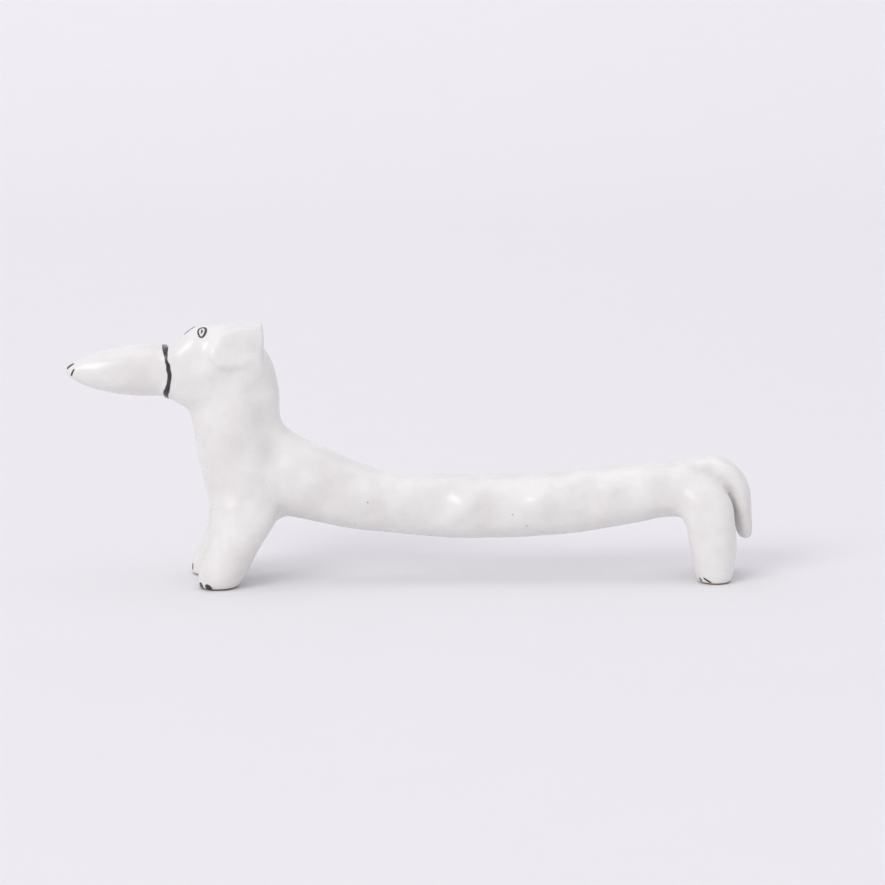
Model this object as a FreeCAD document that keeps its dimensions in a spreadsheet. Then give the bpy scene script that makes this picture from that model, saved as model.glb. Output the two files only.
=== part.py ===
import FreeCAD, Part
import math
import os
import Sketcher

# Ceramic sausage dog figurine, hand rolled and glazed. Millimetres.
# +Z is up, the nose points to -X and the dog's left side to -Y. The origin is on the standing
# surface, under the middle of the whole figure.

Vector = FreeCAD.Vector
Placement = FreeCAD.Placement
Rotation = FreeCAD.Rotation

doc = FreeCAD.newDocument("ceramic_dog")
sheet = doc.addObject("Spreadsheet::Sheet", "Sizes")

SIZES = [
    ("trunk_start", -34.0),
    ("trunk_length", 104.0),
    ("trunk_depth", 14.4),
    ("trunk_width", 14.0),
    ("trunk_height", 16.2),
    ("chest_place", -38.0),
    ("chest_height", 50.4),
    ("chest_length", 19.4),
    ("chest_width", 17.0),
    ("head_turn", 5.0),
    ("head_place", -40.0),
    ("head_sink", 4.0),
    ("head_length", 20.3),
    ("head_front", -13.0),
    ("head_depth", 18.7),
    ("head_width", 12.6),
    ("snout_length", 22.1),
    ("snout_girth", 11.0),
    ("snout_rise", 0.4),
    ("ear_length", 11.4),
    ("ear_drop", 7.9),
    ("ear_thick", 2.8),
    ("ear_back", 1.1),
    ("front_leg_height", 24.4),
    ("front_foot_length", 11.2),
    ("front_foot_width", 9.8),
    ("front_foot_place", -41.6),
    ("front_foot_gap", 4.2),
    ("front_foot_stagger", -2.2),
    ("rear_leg_height", 22.8),
    ("rear_foot_length", 9.9),
    ("rear_foot_width", 8.4),
    ("rear_foot_inset", 3.7),
    ("rear_foot_gap", 2.6),
    ("rear_foot_stagger", 1.8),
    ("tail_width", 7.9),
    ("tail_thick", 5.0),
    ("tail_drop", 16.6),
    ("tail_root_height", 25.0),
    ("sole_thick", 0.4),
    ("paint", 0.15),
    ("band_width", 0.9),
    ("eye_width", 2.3),
    ("eye_line", 0.45),
    ("eye_place", -6.4),
    ("eye_height", 8.2),
    ("right_eye_forward", 2.6),
    ("pupil_width", 0.7),
    ("nostril_width", 0.55),
    ("toe_line_width", 0.7),
    ("toe_line_height", 1.7),
]

# Trunk roll, squeezed by the fingers: part of the length, rise of the centre, depth, width.
TRUNK = [
    (0.000, 7.4, 1.19, 1.05),
    (0.093, 6.0, 1.21, 1.09),
    (0.156, 3.9, 1.14, 1.06),
    (0.219, 1.9, 1.03, 1.02),
    (0.304, 0.8, 0.96, 0.98),
    (0.409, 0.0, 1.01, 1.03),
    (0.514, 0.0, 0.99, 0.99),
    (0.620, 0.4, 0.99, 1.02),
    (0.725, 1.5, 0.97, 0.99),
    (0.810, 2.8, 0.90, 0.99),
    (0.877, 3.6, 0.85, 0.97),
    (0.933, 3.0, 0.83, 0.90),
    (0.974, 1.4, 0.68, 0.72),
    (1.000, 0.0, 0.38, 0.38),
]

# Chest and neck column: part of the height, shift along the body, length, width.
CHEST = [
    (0.242, 2.0, 0.52, 0.50),
    (0.282, 2.4, 0.80, 0.79),
    (0.345, 2.7, 0.94, 0.96),
    (0.444, 1.8, 0.99, 1.02),
    (0.563, 0.8, 0.98, 1.01),
    (0.683, -0.1, 1.01, 0.99),
    (0.782, -0.7, 1.03, 0.93),
    (0.871, 0.0, 0.95, 0.82),
    (0.948, 1.4, 0.70, 0.66),
    (1.000, 2.2, 0.42, 0.45),
]

# Head block: part of the length, middle height, depth, width, corner radius. The first row's depth
# and width are parts of the snout girth, so that the muzzle line always meets the head.
HEAD = [
    (0.000, 0.02, 1.02, 0.974, 0.40),
    (0.138, -0.01, 0.74, 0.92, 0.39),
    (0.266, 0.02, 0.96, 0.97, 0.34),
    (0.493, 0.03, 1.00, 1.00, 0.30),
    (0.700, 0.06, 0.94, 1.01, 0.30),
    (0.860, 0.11, 0.83, 1.00, 0.30),
    (1.000, 0.18, 0.69, 0.95, 0.29),
]

# Snout outline from the tip: part of the length, part of the girth.
SNOUT = [
    (0.000, 0.00),
    (0.010, 0.11),
    (0.059, 0.27),
    (0.208, 0.58),
    (0.407, 0.83),
    (0.606, 0.95),
    (0.805, 0.985),
    (1.000, 1.00),
]

# Drop ear: part of the drop, shift back, distance out, length, thickness.
EAR = [
    (1.00, 2.3, 5.2, 0.68, 0.76),
    (0.66, 0.8, 6.4, 0.97, 1.00),
    (0.30, 0.1, 7.3, 1.00, 1.04),
    (0.00, -0.3, 7.6, 0.62, 0.58),
]

# Legs: part of the height, shift along, shift out, length, width.
FRONT_LEG = [
    (0.000, 0.0, 0.0, 0.86, 0.86),
    (0.115, 0.3, 0.0, 0.99, 0.99),
    (0.197, 0.9, -0.1, 1.01, 1.00),
    (0.311, 2.3, -0.5, 1.00, 1.00),
    (0.434, 3.6, -1.0, 1.09, 1.00),
    (0.590, 5.2, -1.5, 1.37, 0.98),
    (0.795, 5.8, -2.1, 1.34, 0.88),
    (1.000, 5.8, -3.0, 0.86, 0.57),
]
REAR_LEG = [
    (0.000, 0.1, 0.0, 0.76, 0.78),
    (0.088, 0.0, 0.0, 0.91, 0.95),
    (0.246, 0.0, 0.0, 1.00, 1.00),
    (0.421, -0.4, -0.3, 1.11, 1.02),
    (0.588, -1.1, -0.6, 1.17, 1.05),
    (0.746, -2.4, -1.0, 1.21, 1.02),
    (0.895, -4.0, -1.5, 1.01, 0.83),
    (1.000, -5.0, -2.6, 0.67, 0.43),
]

# Flat tail: distance along from the rump, part of the drop, tilt in degrees, thickness, width.
TAIL = [
    (-10.9, 0.00, 90, 0.30, 0.55),
    (-6.4, -0.01, 91, 0.60, 0.88),
    (-1.9, 0.01, 106, 0.96, 1.00),
    (1.8, 0.13, 139, 1.04, 1.00),
    (3.5, 0.39, 166, 0.96, 0.95),
    (4.5, 0.76, 172, 0.76, 0.85),
    (4.9, 1.00, 175, 0.36, 0.45),
]

# Toe lines: turn from straight ahead towards the outside, and width.
TOES = [
    ("inner", 40.0, 0.8),
    ("outer", 62.0, 1.3),
]


def put_sizes():
    rows = list(SIZES)
    tables = [
        ("trunk", TRUNK, ("along", "rise", "deep", "wide")),
        ("chest", CHEST, ("up", "shift", "long", "wide")),
        ("head", HEAD, ("along", "middle", "deep", "wide", "corner")),
        ("snout", SNOUT, ("along", "girth")),
        ("ear", EAR, ("up", "back", "out", "long", "thick")),
        ("front_leg", FRONT_LEG, ("up", "shift", "out", "long", "wide")),
        ("rear_leg", REAR_LEG, ("up", "shift", "out", "long", "wide")),
        ("tail", TAIL, ("along", "down", "tilt", "thick", "wide")),
    ]
    for part_name, table, words in tables:
        for number, station in enumerate(table, 1):
            for word, amount in zip(words, station):
                rows.append(("%s_%d_%s" % (part_name, number, word), amount))
    for toe, turn, wide in TOES:
        rows.append((toe + "_toe_turn", turn))
        rows.append((toe + "_toe_width", wide))
    for row, (name, amount) in enumerate(rows, 1):
        sheet.set("A%d" % row, name)
        sheet.set("B%d" % row, str(amount))
        sheet.setAlias("B%d" % row, name)
    doc.recompute()


def value(expression):
    return float(sheet.evalExpression(expression))


def named(expression):
    """Turn a text with {size} marks into an expression on the sheet."""
    return expression.replace("{", "Sizes.").replace("}", "")


def role(body, plane):
    for feature in body.Origin.OriginFeatures:
        if feature.Role == plane:
            return feature


def plane_sketch(body, name, plane, offset):
    sketch = body.newObject("Sketcher::SketchObject", name)
    sketch.AttachmentSupport = [(role(body, plane), "")]
    sketch.MapMode = "FlatFace"
    sketch.setExpression("AttachmentOffset.Base.z", offset)
    return sketch


def limit(sketch, kind, where, expression):
    number = sketch.addConstraint(Sketcher.Constraint(kind, *where, value(expression)))
    sketch.setExpression("Constraints[%d]" % number, expression)


def draw_oval(sketch, across, up, wide, tall):
    """Oval with its centre at (across, up); all four are expressions."""
    middle = Vector(value(across), value(up), 0)
    side = Vector(value(wide) / 2, 0, 0)
    top = Vector(0, value(tall) / 2, 0)
    upright = value(tall) > value(wide)
    if upright:
        oval = Part.Ellipse(middle + top, middle - side, middle)
    else:
        oval = Part.Ellipse(middle + side, middle + top, middle)
    sketch.addGeometry(oval, False)
    sketch.exposeInternalGeometry(0)
    sketch.addConstraint(Sketcher.Constraint("Vertical" if upright else "Horizontal", 1))
    limit(sketch, "Distance", (1,), tall if upright else wide)
    limit(sketch, "Distance", (2,), wide if upright else tall)
    limit(sketch, "DistanceX", (-1, 1, 0, 3), across)
    limit(sketch, "DistanceY", (-1, 1, 0, 3), up)


def draw_soft_block(sketch, across, up, wide, tall, corner):
    """Rectangle with round corners, its centre at (across, up)."""
    middle = Vector(value(across), value(up), 0)
    side = value(wide) / 2
    top = value(tall) / 2
    radius = value(corner)
    corners = [(1, -1), (1, 1), (-1, 1), (-1, -1)]
    starts = [(-1, -1, 1, 0), (1, -1, 0, 1), (1, 1, -1, 0), (-1, 1, 0, -1)]
    for sign_x, sign_y, run_x, run_y in starts:
        begin = Vector(sign_x * side + run_x * radius, sign_y * top + run_y * radius, 0)
        end = Vector(begin.x, begin.y, 0)
        end.x += run_x * 2 * (side - radius)
        end.y += run_y * 2 * (top - radius)
        sketch.addGeometry(Part.LineSegment(middle + begin, middle + end), False)
    for number, (sign_x, sign_y) in enumerate(corners):
        centre = middle + Vector(sign_x * (side - radius), sign_y * (top - radius), 0)
        circle = Part.Circle(centre, Vector(0, 0, 1), radius)
        start = math.radians(90 * (number - 1))
        sketch.addGeometry(Part.ArcOfCircle(circle, start, start + math.pi / 2), False)
    for number in range(4):
        arc = 4 + number
        following = (number + 1) % 4
        sketch.addConstraint(Sketcher.Constraint("Tangent", number, 2, arc, 1))
        sketch.addConstraint(Sketcher.Constraint("Tangent", arc, 2, following, 1))
    sketch.addConstraint(Sketcher.Constraint("Horizontal", 0))
    sketch.addConstraint(Sketcher.Constraint("Horizontal", 2))
    sketch.addConstraint(Sketcher.Constraint("Vertical", 1))
    sketch.addConstraint(Sketcher.Constraint("Vertical", 3))
    for arc in (5, 6, 7):
        sketch.addConstraint(Sketcher.Constraint("Equal", 4, arc))
    limit(sketch, "Radius", (4,), corner)
    limit(sketch, "DistanceX", (3, 1, 1, 2), wide)
    limit(sketch, "DistanceY", (0, 1, 2, 2), tall)
    limit(sketch, "DistanceX", (-1, 1, 3, 1), "%s - (%s) / 2" % (across, wide))
    limit(sketch, "DistanceY", (-1, 1, 0, 1), "%s - (%s) / 2" % (up, tall))


def loft(body, sections):
    doc.recompute()
    skin = body.newObject("PartDesign::AdditiveLoft", body.Name + "_loft")
    skin.Profile = sections[0]
    skin.Sections = sections[1:]
    doc.recompute()
    return body


def trunk_roll():
    body = doc.addObject("PartDesign::Body", "trunk_roll")
    sections = []
    for number in range(1, len(TRUNK) + 1):
        mark = "{trunk_%d_" % number
        sketch = plane_sketch(body, "trunk_section_%d" % number, "YZ_Plane",
                              named("{trunk_start} + {trunk_length} * " + mark + "along}"))
        draw_oval(sketch, "0", named("{trunk_height} + " + mark + "rise}"),
                  named("{trunk_width} * " + mark + "wide}"),
                  named("{trunk_depth} * " + mark + "deep}"))
        sections.append(sketch)
    return loft(body, sections)


def chest_column():
    body = doc.addObject("PartDesign::Body", "chest_column")
    sections = []
    for number in range(1, len(CHEST) + 1):
        mark = "{chest_%d_" % number
        sketch = plane_sketch(body, "chest_section_%d" % number, "XY_Plane",
                              named("{chest_height} * " + mark + "up}"))
        draw_oval(sketch, named("{chest_place} + " + mark + "shift}"), "0",
                  named("{chest_length} * " + mark + "long}"),
                  named("{chest_width} * " + mark + "wide}"))
        sections.append(sketch)
    return loft(body, sections)


def turn_with_head(piece):
    piece.setExpression("Placement.Base.x", named("{head_place}"))
    piece.setExpression("Placement.Base.z", named("{chest_height} - {head_sink}"))
    piece.Placement.Rotation = Rotation(Vector(0, 0, 1), value("Sizes.head_turn"))
    piece.setExpression("Placement.Rotation.Angle", named("{head_turn}"))


def head_block(name, grow):
    body = doc.addObject("PartDesign::Body", name)
    sections = []
    for number in range(1, len(HEAD) + 1):
        mark = "{head_%d_" % number
        sketch = plane_sketch(body, name + "_section_%d" % number, "YZ_Plane",
                              named("{head_front} + {head_length} * " + mark + "along}"))
        wide, deep = ("{snout_girth}",) * 2 if number == 1 else ("{head_width}", "{head_depth}")
        draw_soft_block(sketch, "0", named("{head_depth} * " + mark + "middle}"),
                        named(wide + " * " + mark + "wide} + 2 * " + grow),
                        named(deep + " * " + mark + "deep} + 2 * " + grow),
                        named("{head_width} * " + mark + "corner} + " + grow))
        sections.append(sketch)
    loft(body, sections)
    turn_with_head(body)
    return body


def snout_cone(name, grow):
    body = doc.addObject("PartDesign::Body", name)
    sketch = plane_sketch(body, name + "_outline", "XZ_Plane", "0")
    sketch.setExpression("AttachmentOffset.Base.y", named("{snout_rise}"))
    doc.recompute()
    base = value("Sizes.head_front")
    extra = value(named(grow))
    long = value("Sizes.snout_length") + extra
    girth = value("Sizes.snout_girth") / 2 + extra
    outline = []
    for number in range(1, len(SNOUT) + 1):
        back = 1 - value("Sizes.snout_%d_along" % number)
        outline.append(Vector(base - back * long, value("Sizes.snout_%d_girth" % number) * girth, 0))
    curve = Part.BSplineCurve()
    curve.interpolate(Points=outline)
    tip = outline[0]
    rim = outline[-1]
    sketch.addGeometry(curve, False)
    sketch.addGeometry(Part.LineSegment(rim, Vector(rim.x, 0, 0)), False)
    sketch.addGeometry(Part.LineSegment(Vector(rim.x, 0, 0), tip), False)
    doc.recompute()
    turned = body.newObject("PartDesign::Revolution", name + "_turned")
    turned.Profile = sketch
    turned.ReferenceAxis = (sketch, ["H_Axis"])
    turned.Angle = 360
    doc.recompute()
    turn_with_head(body)
    return body


def ear_flap(side, sign):
    body = doc.addObject("PartDesign::Body", side + "_ear_flap")
    sections = []
    for number in range(len(EAR), 0, -1):
        mark = "{ear_%d_" % number
        height = "{head_depth} * 0.5 - {ear_drop} * (1 - " + mark + "up})"
        sketch = plane_sketch(body, side + "_ear_section_%d" % number, "XY_Plane", named(height))
        draw_oval(sketch, named("{ear_back} + " + mark + "back}"),
                  named("%d * ({head_width} / 2 - 6.3 + " % sign + mark + "out})"),
                  named("{ear_length} * " + mark + "long}"),
                  named("{ear_thick} * " + mark + "thick}"))
        sections.append(sketch)
    loft(body, sections)
    turn_with_head(body)
    return body


def foot_place(end):
    if end == "front":
        return "{front_foot_place}"
    return "{trunk_start} + {trunk_length} - {rear_foot_inset}"


def foot_spread(end):
    return "({%s_foot_gap} + {%s_foot_width}) / 2" % (end, end)


def leg_roll(end, side, sign, name, grow):
    table = FRONT_LEG if end == "front" else REAR_LEG
    stagger = " + {%s_foot_stagger}" % end if side == "right" else ""
    body = doc.addObject("PartDesign::Body", name)
    sections = []
    for number in range(1, len(table) + 1):
        mark = "{%s_leg_%d_" % (end, number)
        height = "{sole_thick} + ({%s_leg_height} - {sole_thick}) * " % end + mark + "up}"
        sketch = plane_sketch(body, name + "_section_%d" % number, "XY_Plane", named(height))
        fade = " * (1 - " + mark + "up})" if stagger else ""
        draw_oval(sketch,
                  named(foot_place(end) + stagger + fade + " + " + mark + "shift}"),
                  named("%d * (" % sign + foot_spread(end) + " + " + mark + "out})"),
                  named("{%s_foot_length} * " % end + mark + "long} + 2 * " + grow),
                  named("{%s_foot_width} * " % end + mark + "wide} + 2 * " + grow))
        sections.append(sketch)
    return loft(body, sections)


def sole_disc(end, side, sign):
    stagger = " + {%s_foot_stagger}" % end if side == "right" else ""
    body = doc.addObject("PartDesign::Body", "%s_%s_sole_disc" % (end, side))
    mark = "{%s_leg_1_" % end
    sketch = plane_sketch(body, "%s_%s_sole_outline" % (end, side), "XY_Plane", "0")
    draw_oval(sketch, named(foot_place(end) + stagger + " + " + mark + "shift}"),
              named("%d * " % sign + foot_spread(end)),
              named("{%s_foot_length} * " % end + mark + "long}"),
              named("{%s_foot_width} * " % end + mark + "wide}"))
    doc.recompute()
    disc = body.newObject("PartDesign::Pad", "%s_%s_sole_pad" % (end, side))
    disc.Profile = sketch
    disc.setExpression("Length", named("{sole_thick}"))
    doc.recompute()
    return body


def tail_strap():
    body = doc.addObject("PartDesign::Body", "tail_strap")
    sections = []
    for number in range(1, len(TAIL) + 1):
        mark = "{tail_%d_" % number
        sketch = plane_sketch(body, "tail_section_%d" % number, "XY_Plane",
                              named("{tail_root_height} - {tail_drop} * " + mark + "down}"))
        sketch.setExpression("AttachmentOffset.Base.x",
                             named("{trunk_start} + {trunk_length} - 1.6 + " + mark + "along}"))
        sketch.AttachmentOffset.Rotation = Rotation(Vector(0, 1, 0), 90)
        sketch.setExpression("AttachmentOffset.Rotation.Angle", named(mark + "tilt}"))
        doc.recompute()
        draw_oval(sketch, "0", "0", named("{tail_thick} * " + mark + "thick}"),
                  named("{tail_width} * " + mark + "wide}"))
        sections.append(sketch)
    return loft(body, sections)


def cut(label, base, *tools):
    """Cut the tools from the base, one after another, and label the last one."""
    for number, tool in enumerate(tools, 1):
        last = number == len(tools)
        piece = doc.addObject("Part::Cut", label if last else "%s_less_%d" % (label, number))
        piece.Base = base
        piece.Tool = tool
        doc.recompute()
        base = piece
    return base


def common(label, one, other):
    piece = doc.addObject("Part::Common", label)
    piece.Base = one
    piece.Tool = other
    doc.recompute()
    return piece


def box(name, long, wide, tall, middle, turn, tilt, with_head):
    """Box with its middle at the given place, turned about Z and then tilted about its own Y."""
    piece = doc.addObject("Part::Box", name)
    piece.setExpression("Length", named(long))
    piece.setExpression("Width", named(wide))
    piece.setExpression("Height", named(tall))
    doc.recompute()
    half = Vector(piece.Length.Value / 2, piece.Width.Value / 2, piece.Height.Value / 2)
    turned = Rotation(Vector(0, 0, 1), turn).multiply(Rotation(Vector(0, 1, 0), tilt))
    centre = Vector(*[value(named(item)) for item in middle])
    place = Placement(centre - turned.multVec(half), turned)
    if with_head:
        place = head_frame().multiply(place)
    piece.Placement = place
    doc.recompute()
    return piece


def head_frame():
    where = Vector(value("Sizes.head_place"), 0, value("Sizes.chest_height - Sizes.head_sink"))
    return Placement(where, Rotation(Vector(0, 0, 1), value("Sizes.head_turn")))


def eye_bar(name, radius, sign):
    """Round bar that points into the eye from the outside of the head. The right eye sits further forward."""
    bar = doc.addObject("Part::Cylinder", name)
    bar.setExpression("Radius", named(radius))
    bar.Height = 4
    ahead = value("Sizes.right_eye_forward") if sign > 0 else 0
    across, aim = (0.17, Vector(-0.5, 0.45, 0.75)) if sign > 0 else (0.33, Vector(-0.15, -0.75, 0.62))
    centre = Vector(value("Sizes.eye_place") - ahead, sign * value("Sizes.head_width") * across,
                    value("Sizes.eye_height"))
    start = centre - aim * 1.5
    bar.Placement = head_frame().multiply(Placement(start, Rotation(Vector(0, 0, 1), aim)))
    doc.recompute()
    return bar


put_sizes()

trunk_body = trunk_roll()
chest_body = chest_column()
head = head_block("head", "0")
head_skin = head_block("head_skin", "{paint}")
snout = snout_cone("snout", "0")
snout_skin = snout_cone("snout_skin", "{paint}")

chest = cut("chest_and_neck", chest_body, head)
trunk = cut("trunk", trunk_body, chest)
parts = [trunk, chest, head, snout]

SIDES = [("left", -1), ("right", 1)]
for side, sign in SIDES:
    parts.append(cut(side + "_ear", ear_flap(side, sign), head, chest))

rear_legs = []
for end in ("front", "rear"):
    for side, sign in SIDES:
        leg_name = "%s_%s_leg" % (end, side)
        body = leg_roll(end, side, sign, leg_name + "_roll", "0")
        leg = cut(leg_name, body, chest, trunk)
        parts.append(leg)
        parts.append(sole_disc(end, side, sign))
        parts[-1].Label = "%s_%s_sole" % (end, side)
        skin = leg_roll(end, side, sign, leg_name + "_skin", "{paint}")
        if end == "rear":
            rear_legs.append(leg)
        stagger = " + {%s_foot_stagger}" % end if side == "right" else ""
        for toe, turn, wide in TOES:
            toe_name = "%s_%s_%s_toe_line" % (end, side, toe)
            heading = math.radians(value("Sizes.%s_toe_turn" % toe))
            reach_x = -0.5 * math.cos(heading)
            reach_y = 0.5 * sign * math.sin(heading)
            blade = box(toe_name + "_blade", "6", "{toe_line_width} * {%s_toe_width}" % toe,
                        "{toe_line_height}",
                        (foot_place(end) + stagger + " + {%s_foot_length} * %.4f" % (end, reach_x),
                         "%d * " % sign + foot_spread(end) + " + {%s_foot_width} * %.4f" % (end, reach_y),
                         "{sole_thick} + {toe_line_height} / 2 + 0.05"),
                        -sign * value("Sizes.%s_toe_turn" % toe), 0, False)
            parts.append(cut(toe_name, common(toe_name + "_patch", blade, skin), body))

parts.append(cut("tail", tail_strap(), trunk, rear_legs[0], rear_legs[1]))

slab = box("band_slab", "{band_width}", "{snout_girth} * 2", "{snout_girth} * 2",
           ("{head_front} - {band_width} / 2", "0", "0"), 0, 0, True)
parts.append(cut("muzzle_band", common("band_patch", slab, snout_skin), snout))

for side, sign in SIDES:
    outer = eye_bar(side + "_eye_outer_bar", "{eye_width} / 2", sign)
    inner = eye_bar(side + "_eye_inner_bar", "{eye_width} / 2 - {eye_line}", sign)
    ring = cut(side + "_eye_tube", outer, inner)
    parts.append(cut(side + "_eye_ring", common(side + "_eye_patch", ring, head_skin), head))
    dot = eye_bar(side + "_pupil_bar", "{pupil_width} / 2", sign)
    parts.append(cut(side + "_pupil", common(side + "_pupil_patch", dot, head_skin), head))
    stroke = box(side + "_nostril_blade", "3", "{nostril_width}", "1.9",
                 ("{head_front} - {snout_length} + 0.3", "%d * 0.9" % sign,
                  "{snout_rise} + 0.4"), 0, 0, True)
    parts.append(cut(side + "_nostril", common(side + "_nostril_patch", stroke, snout_skin), snout))

head.Label = "head"
snout.Label = "snout"
doc.recompute()

for item in doc.Objects:
    if "Invalid" in item.State or "Error" in item.State:
        raise RuntimeError("%s is %s" % (item.Label, item.State))
names = [piece.Label for piece in parts]
if len(set(names)) != len(names):
    raise RuntimeError("two sub-parts share a name")

os.makedirs("parts", exist_ok=True)
for piece in parts:
    shape = piece.Shape
    if shape.isNull() or not shape.isValid() or len(shape.Solids) != 1:
        raise RuntimeError("%s is not one good solid" % piece.Label)
    shape.exportStep("parts/%s.step" % piece.Label)
    print("%-28s %8.2f mm3" % (piece.Label, shape.Volume))
print("%d sub-parts" % len(parts))
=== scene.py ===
import math
import bpy
from mathutils import Matrix, Vector


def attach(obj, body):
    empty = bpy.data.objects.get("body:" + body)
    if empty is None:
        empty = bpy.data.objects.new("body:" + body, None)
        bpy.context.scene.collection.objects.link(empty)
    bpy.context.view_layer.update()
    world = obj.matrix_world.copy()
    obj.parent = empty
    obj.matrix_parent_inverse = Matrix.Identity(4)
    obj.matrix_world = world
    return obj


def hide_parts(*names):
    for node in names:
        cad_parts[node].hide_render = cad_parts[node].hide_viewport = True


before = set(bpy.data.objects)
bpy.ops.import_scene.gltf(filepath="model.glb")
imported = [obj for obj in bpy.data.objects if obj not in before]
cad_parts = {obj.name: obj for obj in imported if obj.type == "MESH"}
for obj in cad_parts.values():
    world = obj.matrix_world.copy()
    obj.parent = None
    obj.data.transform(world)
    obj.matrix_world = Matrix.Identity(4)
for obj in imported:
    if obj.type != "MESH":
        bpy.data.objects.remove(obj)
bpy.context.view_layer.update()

# Hand-rolled, white glazed pottery dog. Metres; nose to -X, left side to -Y, +Z up.

MM = 0.001
TURN = -1  # transform.rotate turns the other way round when it runs in the background

SIDES = (("left", -1), ("right", 1))
HEAD_TURN = math.radians(5)
HEAD_PLACE = Vector((-40.0, 0.0, 46.4))
HEAD_ROLL = math.radians(-3.5)
HEAD = (Matrix.Translation(HEAD_PLACE * MM) @ Matrix.Rotation(HEAD_TURN, 4, "Z")
        @ Matrix.Rotation(HEAD_ROLL, 4, "X"))

ROUND_SIDES = 24
STRIP_SIDES = 20
CORNER_STEPS = 4
CLAY_GRAIN = 0.36  # voxel size of the joined clay, mm
HAND_LUMP_SIZE, HAND_LUMP_RISE = 8, 0.35  # slow unevenness left by the hands, mm
FLAT_BELOW = 0.1  # clay lower than this is set down flat on the floor, mm
SMOOTH_UP_TO = math.radians(60)
PIGMENT, BAND_PIGMENT = 0.12, 0.1  # thickness of the brush marks, mm


# ---------------------------------------------------------------- helpers

def only(*objs):
    """Select these objects and nothing else. The first one becomes the active one."""
    bpy.ops.object.select_all(action="DESELECT")
    for o in objs:
        o.select_set(True)
    bpy.context.view_layer.objects.active = objs[0]


def edit(obj, kind="VERT"):
    only(obj)
    bpy.ops.object.mode_set(mode="EDIT")
    bpy.ops.mesh.select_mode(type=kind)
    bpy.ops.mesh.select_all(action="SELECT")


def done():
    bpy.ops.object.mode_set(mode="OBJECT")


def pick(obj, test):
    """Go into edit mode with only the vertices selected that pass a test on their place."""
    edit(obj)
    bpy.ops.mesh.select_all(action="DESELECT")
    done()
    for vertex in obj.data.vertices:
        vertex.select = test(vertex.co)
    bpy.ops.object.mode_set(mode="EDIT")


def settle(obj):
    only(obj)
    bpy.ops.object.transform_apply(location=True, rotation=True, scale=True)


def modify(obj, kind, **settings):
    only(obj)
    m = obj.modifiers.new(kind.lower(), kind)
    for key, value in settings.items():
        setattr(m, key, value)
    bpy.ops.object.modifier_apply(modifier=m.name)
    return obj


def in_head(x, y, z):
    """A point of the head's own frame, in mm, as a point of the dog in metres."""
    return HEAD @ (Vector((x, y, z)) * MM)


def in_head_way(x, y, z):
    """A direction of the head's own frame as a direction of the dog."""
    return HEAD.to_3x3() @ Vector((x, y, z))


def nearest_vertex(obj, there):
    return min(obj.data.vertices, key=lambda v: (v.co - there).length_squared).co.copy()


def roll(name, axis, stations, corner=0.0):
    """A lump drawn out station by station along X or Z.

    A station is (x, y, z, width one way, width the other way) in mm. A corner makes it a soft rectangle.
    """
    first = stations[0]
    turn = (0, math.pi / 2, 0) if axis == "X" else (0, 0, 0)
    place = [c * MM for c in first[:3]]
    if corner:
        bpy.ops.mesh.primitive_plane_add(size=MM, location=place, rotation=turn)
    else:
        bpy.ops.mesh.primitive_circle_add(vertices=ROUND_SIDES, radius=MM / 2, fill_type="NGON",
                                          location=place, rotation=turn)
    obj = bpy.context.object
    obj.name = name
    settle(obj)
    edit(obj)
    if corner:
        bpy.ops.mesh.bevel(affect="VERTICES", offset=corner * MM, offset_type="OFFSET",
                           segments=CORNER_STEPS)
        bpy.ops.mesh.select_all(action="SELECT")
    widths = (1.0, 1.0)
    at = Vector(place)
    for number, station in enumerate(stations):
        there = Vector(station[:3]) * MM
        if number:
            bpy.ops.mesh.extrude_region_move(TRANSFORM_OT_translate={"value": there - at})
        grow = (station[3] / widths[0], station[4] / widths[1])
        scale = (1, grow[0], grow[1]) if axis == "X" else (grow[0], grow[1], 1)
        bpy.ops.transform.resize(value=scale, center_override=there)
        widths = station[3:5]
        at = there
    bpy.ops.mesh.select_all(action="SELECT")
    bpy.ops.mesh.normals_make_consistent(inside=False)
    done()
    return modify(obj, "SUBSURF", levels=2, render_levels=2)


def turn_head(obj):
    only(obj)
    obj.matrix_world = HEAD
    settle(obj)
    return obj


# ---------------------------------------------------------------- the clay lumps

def trunk_lump():
    return roll("trunk_lump", "X", [
        (-37.5, 0, 23.6, 7, 8), (-36.5, 0, 23.6, 13, 13.6), (-31, 0, 24.2, 15.0, 18.6),
        (-24.3, 0, 22.9, 15.2, 18.4), (-17.8, 0, 20.6, 14.8, 16.8), (-11.2, 0, 18.4, 14.2, 14.8),
        (-2.4, 0, 17.1, 13.8, 13.6), (8.5, 0, 16.2, 14.4, 14.5), (19.5, 0, 16.2, 13.9, 14.3),
        (30.5, 0, 16.6, 14.2, 14.3), (41.4, 0, 17.7, 13.9, 14.0), (50.2, 0, 19.0, 13.9, 13.0),
        (56.8, 0, 19.8, 13.6, 12.2), (63.0, 0, 19.2, 12.6, 12.0), (67.2, 0, 18.2, 10.6, 10.4),
        (69.8, 0, 18.1, 7.0, 7.8)])


def saddle_lump():
    """A little clay worked into the corner between the back of the neck and the trunk."""
    return roll("saddle_lump", "X", [
        (-34, 0, 31.5, 5, 6), (-30.5, 0, 32.6, 7, 7.0), (-27.6, 0, 31.4, 8, 6.4),
        (-24.0, 0, 29.6, 8, 4.6), (-20, 0, 27.8, 7, 3.6)])


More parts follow.
